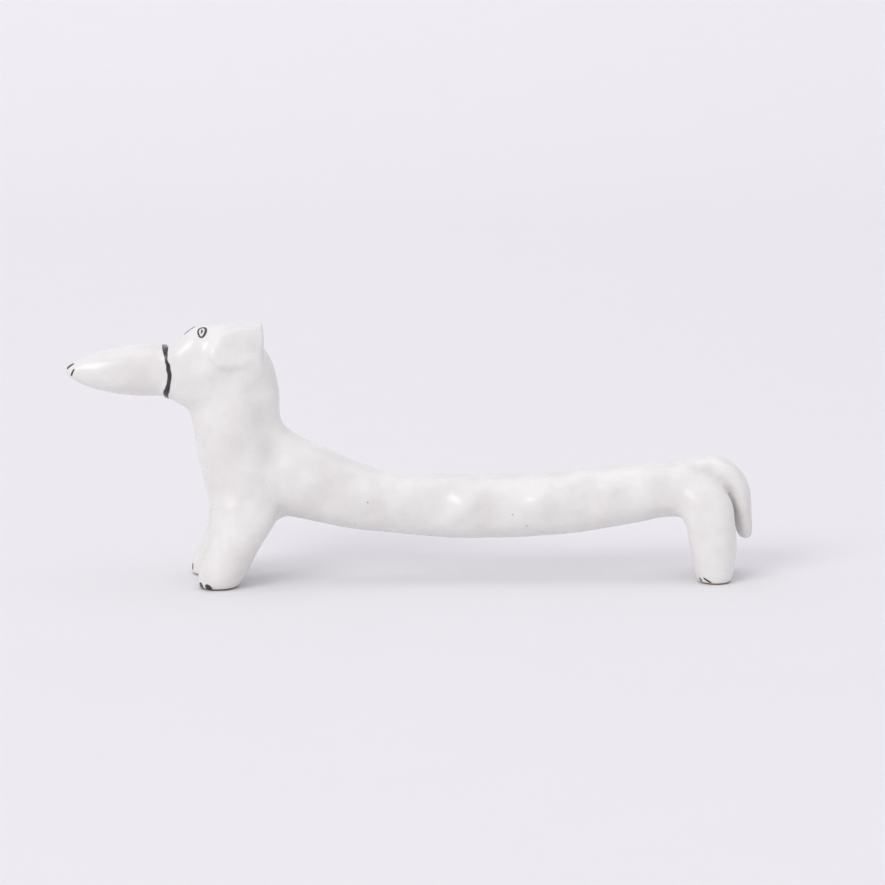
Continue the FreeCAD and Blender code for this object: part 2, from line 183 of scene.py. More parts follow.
def chest_lump():
    return roll("chest_lump", "Z", [
        (-36.0, 0, 12.0, 6, 5), (-36.0, 0, 12.4, 11, 9), (-35.5, 0, 14.2, 15.6, 13.6),
        (-35.3, 0, 17.4, 18.2, 16.4), (-36.2, 0, 22.4, 19.2, 17.4), (-37.2, 0, 28.4, 19.0, 17.2),
        (-38.1, 0, 34.4, 19.6, 16.8), (-38.6, 0, 39.4, 20.3, 15.8), (-38.0, 0, 43.9, 18.4, 14.0),
        (-36.8, 0, 47.8, 14.2, 11.4), (-36.2, 0, 50.4, 10.8, 9.4), (-35.9, 0, 52.4, 6, 6)])


def head_lump():
    obj = roll("head_lump", "X", [
        (-16.0, 0, 0.3, 9.6, 9.8), (-13.0, 0, 0.3, 11.0, 11.2), (-10.4, 0, -0.2, 11.4, 13.8),
        (-8.0, 0, 0.6, 11.6, 17.6), (-5.6, 0, 0.7, 12.0, 18.9), (-2.0, 0, 0.9, 12.4, 18.9),
        (2.4, 0, 1.7, 12.6, 17.3), (6.4, 0, 3.2, 12.6, 14.9), (7.6, 0, 3.7, 12.4, 14.2),
        (7.8, 0, 3.8, 12.0, 13.8)], corner=0.30)
    return turn_head(obj)


def snout_lump():
    obj = roll("snout_lump", "X", [
        (-34.8, 0, 0.7, 0.9, 0.9), (-34.6, 0, 0.7, 1.9, 1.9), (-33.6, 0, 0.65, 3.3, 3.3),
        (-30.6, 0, 0.6, 6.4, 6.6), (-26.1, 0, 0.6, 9.1, 9.5), (-21.6, 0, 0.65, 10.5, 11.0),
        (-17.2, 0, 0.65, 11.0, 11.4), (-12.6, 0, 0.5, 11.1, 11.5), (-9, 0, 0.4, 9.0, 9.0)])
    return turn_head(obj)


def ear_lump(side, sign):
    """A pinched flap that hangs from the top edge of the head, its front edge standing out most."""
    obj = roll(side + "_ear_lump", "Z", [
        (0.8, sign * 6.7, 1.1, 4.6, 1.2), (0.8, sign * 6.7, 1.4, 7.0, 2.2),
        (1.1, sign * 6.5, 2.8, 10.4, 2.8), (1.2, sign * 6.2, 4.9, 11.9, 2.8),
        (1.9, sign * 5.9, 7.0, 11.0, 2.4), (2.9, sign * 5.4, 9.2, 8.8, 2.0),
        (3.5, sign * 5.1, 10.2, 7.4, 1.2)], corner=0.34)
    only(obj)
    middle = Vector((1.5, sign * 6.5, 5.5)) * MM
    twist = Matrix.Rotation(math.radians(-6 * sign), 4, "Z")
    obj.matrix_world = Matrix.Translation(middle) @ twist @ Matrix.Translation(-middle)
    settle(obj)
    return turn_head(obj)


# Where a left foot stands along X and out to the side, how far the right one steps on from it, and the
# stations from the sole up: height, shift along X, shift outwards, length and width. All in mm.
LEGS = {
    "front": (-41.6, 7.0, -2.2, [
        (0.0, -0.8, 0.0, 7.6, 7.8), (0.2, -0.7, 0.1, 8.8, 9.0), (2.8, 0.1, 0.1, 10.7, 10.0),
        (4.8, 0.9, -0.1, 11.3, 9.8), (7.6, 2.3, -0.5, 11.2, 9.8), (10.6, 3.6, -1.0, 12.2, 9.8),
        (14.4, 5.2, -1.5, 15.4, 9.6), (19.4, 5.8, -2.1, 15.0, 8.6), (24.4, 5.8, -3.0, 9.6, 5.6)]),
    "rear": (66.3, 5.5, 1.8, [
        (0.0, 0.1, 0.2, 6.4, 6.6), (0.2, 0.1, 0.2, 7.3, 7.6), (2.0, 0.0, 0.1, 8.7, 8.5),
        (5.6, 0.0, 0.0, 9.9, 8.4), (9.6, -0.4, -0.3, 11.0, 8.6), (13.4, -1.1, -0.6, 11.6, 8.8),
        (17.0, -2.0, -1.0, 12.8, 8.6), (20.4, -3.2, -1.4, 11.8, 7.4), (22.8, -4.4, -2.5, 8.0, 4.0)])}


def leg_lump(end, side, sign):
    along, aside, step, table = LEGS[end]
    tall = table[-1][0]
    ahead = step if sign > 0 else 0.0
    return roll("%s_%s_leg_lump" % (side, end), "Z", [
        (along + ahead * (1 - z / tall) + shift, sign * (aside + out), z, long, wide)
        for z, shift, out, long, wide in table])


def strip(name, path):
    """A strip rolled out along X and turned down as it goes.

    A station is (x, z, thickness, width) in mm.
    """
    start = Vector((path[0][0], 0, path[0][1])) * MM
    bpy.ops.mesh.primitive_circle_add(vertices=STRIP_SIDES, radius=MM / 2, fill_type="NGON",
                                      location=start, rotation=(0, math.pi / 2, 0))
    obj = bpy.context.object
    obj.name = name
    settle(obj)
    edit(obj)
    angle = 0.0
    thick = wide = 1.0
    last = start
    for number, (x, z, new_thick, new_wide) in enumerate(path):
        here = Vector((x, 0, z)) * MM
        if number:
            bpy.ops.mesh.extrude_region_move(TRANSFORM_OT_translate={"value": here - last})
        last = here
        after = path[min(number + 1, len(path) - 1)]
        before = path[max(number - 1, 0)]
        heading = math.atan2(before[1] - after[1], after[0] - before[0])
        bpy.ops.transform.rotate(value=-angle * TURN, orient_axis="Y", center_override=here)
        bpy.ops.transform.resize(value=(1, new_wide / wide, new_thick / thick), center_override=here)
        bpy.ops.transform.rotate(value=heading * TURN, orient_axis="Y", center_override=here)
        angle, thick, wide = heading, new_thick, new_wide
    bpy.ops.mesh.select_all(action="SELECT")
    bpy.ops.mesh.normals_make_consistent(inside=False)
    done()
    return modify(obj, "SUBSURF", levels=2, render_levels=2)


def tail_lump():
    return strip("tail_lump", [
        (56.5, 24.8, 0.8, 4.0), (60.0, 25.2, 2.4, 6.4), (64.0, 25.1, 4.2, 7.6),
        (67.6, 24.7, 5.0, 8.4), (70.6, 22.9, 5.0, 8.6), (72.3, 19.9, 4.9, 8.4),
        (72.9, 16.0, 4.6, 7.8), (73.3, 12.4, 4.3, 7.0), (73.6, 10.0, 4.1, 6.0),
        (73.7, 8.8, 3.2, 4.6), (73.7, 8.3, 1.7, 2.6)])


def soften(obj, name, lines, radius, iterations):
    """Smooth the clay near some lines, as a wet finger drawn along a join does."""
    group = obj.vertex_groups.new(name=name)
    for v in obj.data.vertices:
        gap = min(line_gap(v.co / MM, Vector(a), Vector(b)) for a, b in lines)
        if gap < radius:
            share = 1 - gap / radius
            group.add([v.index], min(1.0, 2 * share), "REPLACE")
    modify(obj, "SMOOTH", factor=0.5, iterations=iterations, vertex_group=name)


def line_gap(point, a, b):
    along = b - a
    share = max(0.0, min(1.0, (point - a).dot(along) / along.length_squared))
    return (a + along * share - point).length


JOINS = [((-28, 0, 32), (-26, -8, 22)), ((-28, 0, 32), (-26, 8, 22)),
         ((-26, -8, 22), (-27, -5, 12)), ((-26, 8, 22), (-27, 5, 12)),
         ((-44, -8, 21), (-28, -8, 21)), ((-44, 8, 21), (-28, 8, 21)),
         ((-44, 0, 12), (-28, 0, 12)),
         ((57, -7, 21), (63.5, -7, 20)), ((57, 7, 21), (63.5, 7, 20)),
         ((58, -5, 13), (60, 5, 13)), ((60, 0, 13), (70, 0, 12))]
NECK_ROUND = [((-50, 0, 38), (-42, -7, 41)), ((-42, -7, 41), (-31, -6, 46)),
              ((-31, -6, 46), (-31, 6, 48)), ((-31, 6, 46), (-42, 7, 41)),
              ((-42, 7, 41), (-50, 0, 38))]
THROAT = [((-50, -4, 38), (-50, 4, 38))]
SADDLE = [((-27.5, -5, 32.5), (-27.5, 5, 32.5))]


def ear_rims():
    """The lines round the free edge of both ears."""
    lines = []
    for side, sign in SIDES:
        rim = [in_head(x, sign * 6.8, z) / MM
               for x, z in ((-0.9, 9.6), (-4.6, 5.5), (-2.8, 1.6), (3.5, 1.2), (6.5, 3.4))]
        lines += list(zip(rim, rim[1:]))
    return lines


def tail_grooves():
    """The lines where the tail lies against both thighs."""
    lines = []
    for side, sign in SIDES:
        lines += [((64, sign * 4.2, 25.6), (67.8, sign * 4.6, 23.8)),
                  ((67.8, sign * 4.6, 23.8), (70.2, sign * 5, 19.5)),
                  ((70.2, sign * 5, 19.5), (71.2, sign * 5, 15))]
    return lines


def clay_form():
    """All the lumps pressed together, smoothed along the joins and touched by hand."""
    lumps = [trunk_lump(), saddle_lump(), chest_lump(), head_lump(), snout_lump(), tail_lump()]
    for side, sign in SIDES:
        lumps.append(ear_lump(side, sign))
        lumps.append(leg_lump("front", side, sign))
        lumps.append(leg_lump("rear", side, sign))
    only(*lumps)
    bpy.ops.object.join()
    obj = bpy.context.object
    obj.name = "clay"
    modify(obj, "REMESH", mode="VOXEL", voxel_size=CLAY_GRAIN * MM)
    modify(obj, "SMOOTH", factor=0.5, iterations=11)
    soften(obj, "joins", JOINS, 7.0, 120)
    soften(obj, "neck", NECK_ROUND, 5.0, 80)
    soften(obj, "throat", THROAT, 6.5, 130)
    soften(obj, "ear_rims", ear_rims(), 3.6, 60)
    soften(obj, "tail_groove", tail_grooves(), 2.4, 24)
    soften(obj, "saddle", SADDLE, 9.0, 160)
    press(obj, PRINTS)
    lumpy = bpy.data.textures.new("hand_lumps", "CLOUDS")
    lumpy.noise_scale = HAND_LUMP_SIZE * MM
    modify(obj, "DISPLACE", texture=lumpy, texture_coords="LOCAL", strength=HAND_LUMP_RISE * MM,
           mid_level=0.5)
    pick(obj, lambda place: place.z < FLAT_BELOW * MM)
    bpy.ops.transform.resize(value=(1, 1, 0), center_override=(0, 0, 0))
    done()
    return obj


def press(obj, touches):
    """Finger touches: each one moves the surface near a point a little, fading out over a radius, in mm."""
    for point, move, radius in touches:
        nearest = nearest_vertex(obj, Vector(point) * MM)
        pick(obj, lambda place: place == nearest)
        bpy.ops.transform.translate(value=Vector(move) * MM, use_proportional_edit=True,
                                    proportional_edit_falloff="SMOOTH", proportional_size=radius * MM)
        done()


# Thumb and finger prints left along the trunk, neck, legs and head: point, move and radius in mm.
PRINTS = [
    ((-18.9, -7, 18), (0, 0.8, 0.1), 6.5), ((-10.5, -7, 20), (0, -0.5, 0.2), 5),
    ((-2.9, -7, 17), (0, -0.45, 0), 5.5), ((5.5, -7, 18), (0, 0.85, -0.1), 6.5),
    ((10.9, -7, 17.5), (0, -0.45, 0), 4.5), ((18.5, -7, 17), (0, 0.8, 0), 6.5),
    ((27.9, -7, 18), (0, -0.8, 0.1), 4.5), ((38.4, -7, 19), (0, 0.95, 0), 7),
    ((47.3, -7, 20), (0, 0.65, -0.1), 5.5), ((-14, 7, 18), (0, -0.9, 0), 6.5),
    ((1, 7, 18), (0, 0.5, 0), 5.5), ((10, 7, 17), (0, -0.9, 0), 7),
    ((24, 7, 18), (0, -0.8, 0.1), 6.5), ((33, 7, 18), (0, 0.5, 0), 5),
    ((43, 7, 19), (0, -0.9, 0), 7), ((-5, 1, 24), (0, 0, -0.35), 8),
    ((14, -1, 23), (0, 0, -0.25), 8), ((31, 1, 24), (0, 0, -0.25), 7),
    ((-38.0, -8, 52.0), (0, 0.5, 0), 4.5), ((-39, 8, 51), (0, -0.5, 0), 4.5),
    ((-34.6, -7, 51.5), (0, 0.5, 0), 4), ((-44.2, -8, 51.3), (0.1, -0.4, 0), 2.6),
    ((-44.5, -6, 47.3), (0, -0.4, 0), 3.5), ((-37, -9, 30), (0, 0.5, 0), 6),
    ((-34, 8, 28), (0, -0.6, 0), 7), ((-46, -4, 33), (0.3, 0.3, 0), 6),
    ((-31.5, -7, 43), (-0.2, 0.8, 0), 6), ((-30.5, -7, 36), (-0.2, 0.9, 0), 6),
    ((-30, -8, 29), (0, 0.6, 0), 5), ((-42, 8, 36), (0, -0.5, 0), 6),
    ((65.8, -4.4, 24.8), (0, 0.35, -0.2), 2.6), ((-43, 11, 9), (0, -0.4, 0), 5),
    ((64, -9.5, 10), (0, 0.5, 0), 5), ((66, 9.5, 9), (0, -0.5, 0), 5),
    ((56, -7, 22), (0, 0.5, 0), 5), ((50, 3, 26), (0, 0, -0.35), 6)]


# ---------------------------------------------------------------- cutting the form into its lumps

def wedge(name, centre, size, cuts=()):
    """A block with corners sliced off. Each cut is a point and a direction: what lies that way goes."""
    bpy.ops.mesh.primitive_cube_add(size=MM, location=Vector(centre) * MM, scale=size)
    obj = bpy.context.object
    obj.name = name
    settle(obj)
    for point, direction in cuts:
        edit(obj)
        bpy.ops.mesh.bisect(plane_co=Vector(point) * MM, plane_no=direction, use_fill=True,
                            clear_outer=True)
        bpy.ops.mesh.select_all(action="SELECT")
        bpy.ops.mesh.normals_make_consistent(inside=False)
        done()
    return obj


def copy_of(obj, name):
    only(obj)
    bpy.ops.object.duplicate()
    bpy.context.object.name = name
    return bpy.context.object


def drop_crumbs(obj):
    """Throw away the loose crumbs that a cut along a slanting skin can leave."""
    edit(obj)
    bpy.ops.mesh.separate(type="LOOSE")
    done()
    for bit in [o for o in bpy.context.selected_objects if o is not obj]:
        if len(bit.data.vertices) > len(obj.data.vertices):
            obj.data, bit.data = bit.data, obj.data
    crumbs = [o for o in bpy.context.selected_objects if o is not obj]
    if crumbs:
        only(*crumbs)
        bpy.ops.object.delete()


def take(whole, tool, name):
    """Split whole along the faces of tool: the part inside tool comes back, whole keeps the rest."""
    piece = copy_of(whole, name)
    modify(piece, "BOOLEAN", operation="INTERSECT", solver="EXACT", object=tool)
    modify(whole, "BOOLEAN", operation="DIFFERENCE", solver="EXACT", object=tool)
    only(tool)
    bpy.ops.object.delete()
    drop_crumbs(piece)
    drop_crumbs(whole)
    return piece


def keep_shading(piece, skin):
    """Give a cut piece the surface directions of the whole form, so no seam shows."""
    only(piece)
    bpy.ops.object.shade_smooth_by_angle(angle=SMOOTH_UP_TO)
    modify(piece, "DATA_TRANSFER", object=skin, use_loop_data=True,
           data_types_loops={"CUSTOM_NORMAL"}, loop_mapping="POLYINTERP_NEAREST")


def cut_up(clay):
    """The clay form cut along the joins of its lumps. Each lump gets its own closed mesh."""
    parts = {}
    tool = wedge("trunk_side", (30, 0, 20), (120, 60, 60),
                 [((-26.8, 0, 22), (-0.988, 0, -0.152)), ((-27.5, 0, 33.5), (-0.4, 0, 0.9))])
    rear = take(clay, tool, "trunk_clay")
    tool = strip("tail_side", [
        (61.0, 32.0, 10, 24), (61.5, 31.9, 10, 24), (67.5, 29.6, 10, 24), (72.6, 24.5, 9.0, 22),
        (75.3, 17.5, 9.9, 18), (76.0, 12.3, 10.2, 12), (76.2, 7.8, 9.8, 8), (76.2, 7.6, 9.8, 8)])
    parts["tail"] = take(rear, tool, "tail_clay")
    for side, sign in SIDES:
        tool = wedge(side + "_rear_side", (67, sign * 10, 8), (26, 20, 28),
                     [((67, sign * 2.0, 13.0), (-0.45, -sign * 0.75, 0.5))])
        parts["rear_%s_leg" % side] = take(rear, tool, "rear_%s_leg_clay" % side)
    parts["trunk"] = rear
    for side, sign in SIDES:
        tool = wedge(side + "_front_side", (-37, sign * 10, 11), (36, 20, 34),
                     [((-40, sign * 2.5, 11.8), (0, -sign * 0.883, 0.47))])
        parts["front_%s_leg" % side] = take(clay, tool, "front_%s_leg_clay" % side)
    tool = turn_head(wedge("snout_side", (-33.2, 0, 0), (40, 40, 40)))
    parts["snout"] = take(clay, tool, "snout_clay")
    tool = wedge("head_side", (-45, 0, 50), (80, 60, 60), [((-40.5, 0, 44), (0.535, 0, -0.845))])
    parts["head"] = take(clay, tool, "head_clay")
    for side, sign in SIDES:
        tool = wedge(side + "_ear_side", (1.3, sign * 10, 5), (14, 10, 22),
                     [((0, sign * 6.0, 0), (0, -sign, -0.22))])
        parts[side + "_ear"] = take(parts["head"], turn_head(tool), side + "_ear_clay")
    parts["chest_and_neck"] = clay
    clay.name = "chest_and_neck_clay"
    for end in ("front", "rear"):
        for side in ("left", "right"):
            leg = "%s_%s_leg" % (end, side)
            sole = "%s_%s_sole" % (end, side)
            middle = -42 if end == "front" else 67
            tool = wedge("sole_side", (middle, 0, -0.6), (30, 40, 2))
            parts[sole] = take(parts[leg], tool, sole + "_clay")
    return parts


# ---------------------------------------------------------------- brush marks

def stroke(name, place, facing, skin, stations, closed=False):
    """One brush stroke, drawn flat and then turned to face a direction and laid on the clay.

    A station is (right, up, width) in mm. A closed stroke runs back to its start.
    """
    bpy.ops.mesh.primitive_plane_add(size=MM)
    obj = bpy.context.object
    obj.name = name
    pick(obj, lambda corner: corner.x > 0)
    bpy.ops.mesh.delete(type="VERT")
    bpy.ops.mesh.select_all(action="SELECT")
    at = Vector((-0.5, 0, 0)) * MM
    heading = 0.0
    wide = 1.0
    path = stations + stations[:1] if closed else stations
    for number, (right, up, width) in enumerate(path):
        there = Vector((right, up, 0)) * MM
        if number:
            bpy.ops.mesh.extrude_region_move(TRANSFORM_OT_translate={"value": there - at})
        else:
            bpy.ops.transform.translate(value=there - at)
        at = there
        if closed:
            before, after = stations[number - 1], stations[(number + 1) % len(stations)]
        else:
            before = stations[max(number - 1, 0)]
            after = stations[min(number + 1, len(stations) - 1)]
        onward = math.atan2(after[1] - before[1], after[0] - before[0])
        bpy.ops.transform.rotate(value=(onward - heading) * TURN, orient_axis="Z",
                                 center_override=there)
        bpy.ops.transform.resize(value=(width / wide,) * 3, center_override=there)
        heading, wide = onward, width
    bpy.ops.mesh.select_all(action="SELECT")
    bpy.ops.mesh.remove_doubles(threshold=0.01 * MM)
    done()
    modify(obj, "SUBSURF", levels=3, render_levels=3)
    turn = Vector(facing).to_track_quat("Z", "Y").to_matrix().to_4x4()
    only(obj)
    obj.matrix_world = Matrix.Translation(Vector(place) * MM) @ turn
    settle(obj)
    return wet(obj, skin, PIGMENT)


def wet(obj, skin, thick):
    """Press a flat shape against the clay and give it the thickness of a coat of pigment."""
    modify(obj, "SHRINKWRAP", target=skin, wrap_method="NEAREST_SURFACEPOINT",
           wrap_mode="ABOVE_SURFACE", offset=0)
    outward = sum(face.normal.dot(skin.closest_point_on_mesh(face.center)[2])
                  for face in obj.data.polygons)
    if outward < 0:
        edit(obj)
        bpy.ops.mesh.flip_normals()
        done()
    modify(obj, "SOLIDIFY", thickness=thick * MM, offset=1)
    edit(obj)
    bpy.ops.mesh.normals_make_consistent(inside=False)
    done()
    only(obj)
    bpy.ops.object.shade_smooth()
    return obj


def swell(obj, touches):
    """Widen or narrow a band along X near some points of the head's frame, fading out over a radius."""
    for point, growth, radius in touches:
        middle = nearest_vertex(obj, in_head(*point))
        pick(obj, lambda place: place == middle)
        bpy.ops.transform.resize(value=(growth, 1, 1), center_override=middle,
                                 use_proportional_edit=True, proportional_edit_falloff="SMOOTH",
                                 proportional_size=radius * MM)
        done()


BAND_AT, BAND_REACH, BAND_WIDTH = -13.95, 6.4, 0.9  # place, radius and width of the muzzle line, mm


def muzzle_band(skin):
    """The line painted round the snout where it meets the head.

    It bows back on the cheeks and swells above and below.
    """
    upright = (HEAD.to_3x3() @ Matrix.Rotation(math.pi / 2, 3, "Y")).to_euler()
    bpy.ops.mesh.primitive_circle_add(vertices=48, radius=BAND_REACH * MM,
                                      location=in_head(BAND_AT, 0, 0.3), rotation=upright)
    obj = bpy.context.object
    obj.name = "muzzle_brush_band"
    settle(obj)
    edit(obj)
    bpy.ops.mesh.extrude_region_move(TRANSFORM_OT_translate={"value": in_head_way(BAND_WIDTH, 0, 0) * MM})
    done()
    modify(obj, "SUBSURF", levels=2, render_levels=2)
    bows = [((BAND_AT, sign * BAND_REACH, 0), (0.75, 0, 0), 5.5) for side, sign in SIDES]
    kinks = [((-13.0, -5.9, 3.2), (-0.3, 0, 0), 1.5), ((-12.9, -6.3, 1.2), (-0.2, 0, 0), 1.2)]
    press(obj, [(in_head(*point) / MM, in_head_way(*move), radius)
                for point, move, radius in bows + kinks])
    swell(obj, [((-13.6, -3.2, 5.5), 1.55, 2.2), ((-13.4, -5.2, 3.4), 0.65, 1.4),
                ((-13.3, -4.8, -4.0), 1.55, 2.4), ((-13.6, 4.0, 4.9), 1.5, 2.2),
                ((-13.6, 4.6, -4.4), 1.6, 2.6)])
    return wet(obj, skin, BAND_PIGMENT)


# Brush marks. A place is in mm and a line is (right, up, width) in mm, seen from where the mark faces.
# Eyes and nostrils stand in the head's frame: place, direction it faces and, for a nostril, its boldness.
EYES = {"left": ((-5.55, -4.2, 9.0), (-0.08, -0.66, 0.75)),
        "right": ((-8.0, 2.8, 8.8), (-0.5, 0.4, 0.77))}
EYE_RING = [(-1.02, 0.15, 0.32), (-0.82, 0.95, 0.34), (-0.2, 1.5, 0.38), (0.5, 1.45, 0.46),
            (0.98, 0.85, 0.52), (1.05, 0.15, 0.50), (0.75, -0.75, 0.42), (0.25, -1.45, 0.40),
            (-0.3, -1.5, 0.40), (-0.75, -0.8, 0.36)]
EYE_SLIMNESS = 0.86
PUPIL = [(0.02, 0.62, 0.1), (0.04, 0.45, 0.32), (0.02, 0.1, 0.40), (-0.04, -0.25, 0.26),
         (-0.08, -0.5, 0.08)]
NOSTRILS = {"left": ((-33.4, -1.7, 0.4), (-0.45, -0.85, 0.1), 0.75),
            "right": ((-33.8, -0.8, 1.8), (-0.75, -0.4, 0.55), 1.15)}
NOSTRIL = [(-0.42, -0.8, 0.14), (-0.34, -0.5, 0.42), (-0.02, 0.1, 0.46), (0.34, 0.72, 0.36),
           (0.44, 0.95, 0.12)]
TOES = {
    "front_left_inner": ((-45.9, -9.3, 0.85), (-0.77, -0.62, 0), [
        (-0.45, 0.6, 0.5), (-0.2, 0.3, 1.3), (0.25, -0.3, 1.4), (0.5, -0.7, 0.6)]),
    "front_left_outer": ((-44.3, -10.9, 0.75), (-0.5, -0.86, 0), [
        (-0.65, 0.55, 0.5), (-0.3, 0.3, 1.25), (0.35, -0.25, 1.35), (0.85, -0.6, 0.6)]),
    "front_right_inner": ((-48.9, 5.4, 1.9), (-0.86, -0.4, 0.1), [
        (0.0, 0.7, 0.2), (0.0, 0.2, 0.4), (0.0, -0.4, 0.4), (0.05, -0.9, 0.2)]),
    "front_right_outer": ((-48.4, 8.6, 1.1), (-0.86, 0.5, 0), [
        (0.3, 0.75, 0.3), (0.1, 0.3, 0.7), (-0.2, -0.3, 0.75), (-0.4, -0.8, 0.3)]),
    "rear_left_inner": ((62.9, -7.8, 0.9), (-0.8, -0.6, 0), [
        (-0.3, 0.45, 0.15), (-0.1, 0.2, 0.34), (0.15, -0.2, 0.36), (0.35, -0.55, 0.15)]),
    "rear_left_outer": ((64.3, -9.1, 0.95), (-0.45, -0.9, 0), [
        (-0.95, 0.55, 0.15), (-0.45, 0.28, 0.36), (0.3, -0.15, 0.44), (1.0, -0.6, 0.15)]),
    "rear_right_inner": ((64.3, 4.6, 1.1), (-0.9, 0.1, 0), [
        (0.1, 0.7, 0.2), (0.05, 0.3, 0.42), (-0.05, -0.2, 0.42), (-0.1, -0.6, 0.15)]),
    "rear_right_outer": ((65.0, 7.8, 1.0), (-0.7, 0.7, 0), [
        (0.5, 0.6, 0.2), (0.2, 0.25, 0.44), (-0.3, -0.2, 0.44), (-0.6, -0.6, 0.15)]),
}


def painted_marks(skin):
    """Every brush mark by the name of the node it stands for."""
    marks = {"muzzle_band": muzzle_band(skin)}
    for side, sign in SIDES:
        spot, facing = EYES[side]
        place, outward = in_head(*spot) / MM, in_head_way(*facing)
        ring = [(-sign * u * EYE_SLIMNESS, v, w) for u, v, w in EYE_RING]
        marks[side + "_eye_ring"] = stroke(side + "_eye_brush_ring", place, outward, skin, ring, closed=True)
        dot = [(-sign * u, v, w) for u, v, w in PUPIL]
        marks[side + "_pupil"] = stroke(side + "_pupil_dot", place, outward, skin, dot)
    for side, (spot, facing, bold) in NOSTRILS.items():
        line = [(u, v, bold * w) for u, v, w in NOSTRIL]
        marks[side + "_nostril"] = stroke(side + "_nostril_stroke", in_head(*spot) / MM,
                                          in_head_way(*facing), skin, line)
    for toe, (spot, facing, line) in TOES.items():
        marks[toe + "_toe_line"] = stroke(toe + "_toe_dab", spot, facing, skin, line)
    return marks


# ---------------------------------------------------------------- finishes

def noise(tree, vector, scale, detail=3.0, rough=0.5):
    node = tree.nodes.new("ShaderNodeTexNoise")
    node.inputs["Scale"].default_value = scale
    node.inputs["Detail"].default_value = detail
    node.inputs["Roughness"].default_value = rough
    tree.links.new(vector, node.inputs["Vector"])
    return node.outputs["Fac"]


def spread(tree, value, low, high, to_low, to_high):
    node = tree.nodes.new("ShaderNodeMapRange")
    for socket, amount in (("From Min", low), ("From Max", high), ("To Min", to_low), ("To Max", to_high)):
        node.inputs[socket].default_value = amount
    tree.links.new(value, node.inputs["Value"])
    return node.outputs["Result"]


def sums(tree, operation, a, b):
    node = tree.nodes.new("ShaderNodeMath")
    node.operation = operation
    for socket, item in zip(node.inputs, (a, b)):
        if isinstance(item, (int, float)):
            socket.default_value = item
        else:
            tree.links.new(item, socket)
    return node.outputs[0]


def blend(tree, share, a, b):
    node = tree.nodes.new("ShaderNodeMix")
    node.data_type = "RGBA"
    tree.links.new(share, node.inputs["Factor"])
    for socket, item in zip((node.inputs[6], node.inputs[7]), (a, b)):
        if isinstance(item, tuple):
            socket.default_value = item + (1,)
        else:
            tree.links.new(item, socket)
    return node.outputs[2]


def mixture(tree, one, one_part, other, other_part):
    return sums(tree, "ADD", sums(tree, "MULTIPLY", one, one_part),
                sums(tree, "MULTIPLY", other, other_part))


def effect(name, colors):
    """A shader node group that takes a place in mm and two colours and gives Color, Roughness and Height."""
    tree = bpy.data.node_groups.new(name, "ShaderNodeTree")
    tree.interface.new_socket("Place", in_out="INPUT", socket_type="NodeSocketVector")
    for word in colors:
        tree.interface.new_socket(word, in_out="INPUT", socket_type="NodeSocketColor")
    tree.interface.new_socket("Color", in_out="OUTPUT", socket_type="NodeSocketColor")
    for word in ("Roughness", "Height"):
        tree.interface.new_socket(word, in_out="OUTPUT", socket_type="NodeSocketFloat")
    return tree, tree.nodes.new("NodeGroupInput"), tree.nodes.new("NodeGroupOutput")


PINHOLES = [((-9.7, -7.3, 18.6), 0.26), ((21.9, -6.6, 15.5), 0.22), ((25.0, -6.1, 12.9), 0.24)]  # place, size


def glaze_effect():
    """Thick white glaze: faint warm and cool clouds, a slow ripple and a few pinholes."""
    tree, start, end = effect("white_glaze_effect", ("Tint", "Shade"))
    place = start.outputs["Place"]
    cloud = noise(tree, place, 0.11, 2.0)
    mottle = noise(tree, place, 0.4, 1.5)
    share = spread(tree, mixture(tree, cloud, 0.7, mottle, 0.3), 0.38, 0.66, 0.0, 1.0)
    color = blend(tree, share, start.outputs["Tint"], start.outputs["Shade"])
    holes = None
    for spot, size in PINHOLES:
        gap = tree.nodes.new("ShaderNodeVectorMath")
        gap.operation = "DISTANCE"
        gap.inputs[1].default_value = spot
        tree.links.new(place, gap.inputs[0])
        one = spread(tree, gap.outputs["Value"], size * 0.5, size, 1.0, 0.0)
        holes = one if holes is None else sums(tree, "MAXIMUM", holes, one)
    color = blend(tree, sums(tree, "MULTIPLY", holes, 0.75), color, (0.32, 0.27, 0.25))
    height = sums(tree, "SUBTRACT", sums(tree, "MULTIPLY", mottle, 0.22), sums(tree, "MULTIPLY", holes, 0.5))
    tree.links.new(color, end.inputs["Color"])
    tree.links.new(spread(tree, mottle, 0.3, 0.7, 0.26, 0.36), end.inputs["Roughness"])
    tree.links.new(height, end.inputs["Height"])
    return tree


def brush_effect():
    """Black pigment brushed under the glaze: dark where it pooled and grey where the brush ran dry."""
    tree, start, end = effect("brushwork_effect", ("Dark", "Thin"))
    place = start.outputs["Place"]
    streak = noise(tree, place, 1.9, 4.0, 0.65)
    dry = spread(tree, streak, 0.46, 0.70, 0.0, 1.0)
    color = blend(tree, dry, start.outputs["Dark"], start.outputs["Thin"])
    tree.links.new(color, end.inputs["Color"])
    tree.links.new(spread(tree, streak, 0.3, 0.7, 0.26, 0.42), end.inputs["Roughness"])
    tree.links.new(streak, end.inputs["Height"])
    return tree


def clay_effect():
    """Bare fired clay: reddish brown, grainy and dull."""
    tree, start, end = effect("bare_clay_effect", ("Light", "Deep"))
    place = start.outputs["Place"]
    cloud = noise(tree, place, 0.5, 3.0)
    grain = noise(tree, place, 5.0, 4.0, 0.7)
    share = spread(tree, mixture(tree, cloud, 0.6, grain, 0.4), 0.35, 0.65, 0.0, 1.0)
    color = blend(tree, share, start.outputs["Light"], start.outputs["Deep"])
    tree.links.new(color, end.inputs["Color"])
    tree.links.new(spread(tree, grain, 0.3, 0.7, 0.72, 0.92), end.inputs["Roughness"])
    tree.links.new(grain, end.inputs["Height"])
    return tree


